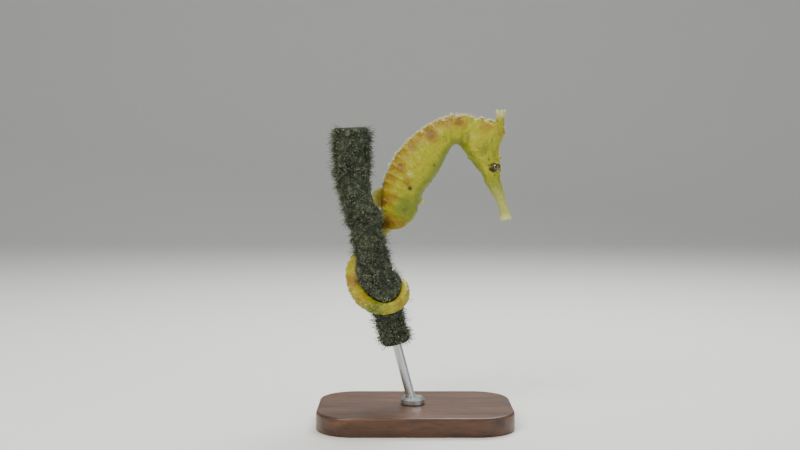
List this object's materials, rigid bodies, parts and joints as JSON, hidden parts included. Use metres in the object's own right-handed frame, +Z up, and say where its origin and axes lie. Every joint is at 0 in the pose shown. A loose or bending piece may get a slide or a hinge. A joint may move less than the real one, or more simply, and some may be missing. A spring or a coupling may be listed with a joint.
{
  "type": "seahorse model on a display stand",
  "caption": "Life-size seahorse with bent neck and long snout, its tail curled round a cut length of weedy stem on a rod and flat base.",
  "frame": {"origin": "centre of the underside of the stand's base", "axes": "+Z up, +X the way the animal faces, its right flank faces -Y"},
  "size_m": [0.068, 0.046, 0.1091],
  "materials": {
    "skin": "yellow ringed fish skin, slightly moist",
    "fin": "thin rayed fin, pale yellow",
    "eye": "wet, dark pupil in a brown gold iris",
    "growth": "plant stem coated with silt and turf algae",
    "steel": "brushed",
    "wood": "oiled, satin"
  },
  "bodies": {
    "root": {"snout": "skin", "head": "skin", "coronet": "skin", "neck": "skin", "trunk_upper": "skin", "trunk_lower": "skin", "tail_root": "skin", "tail_behind_stem": "skin", "tail_left_turn": "skin", "tail_front_turn": "skin", "tail_right_turn": "skin", "tail_tip": "skin", "eye_left": "eye", "eye_right": "eye", "dorsal_fin": "fin", "anal_fin": "fin", "pectoral_fin_left": "fin", "pectoral_fin_right": "fin", "perch_stem": "growth", "stand_rod": "steel", "stand_collar": "steel", "stand_base": "wood"}
  },
  "joints": []
}
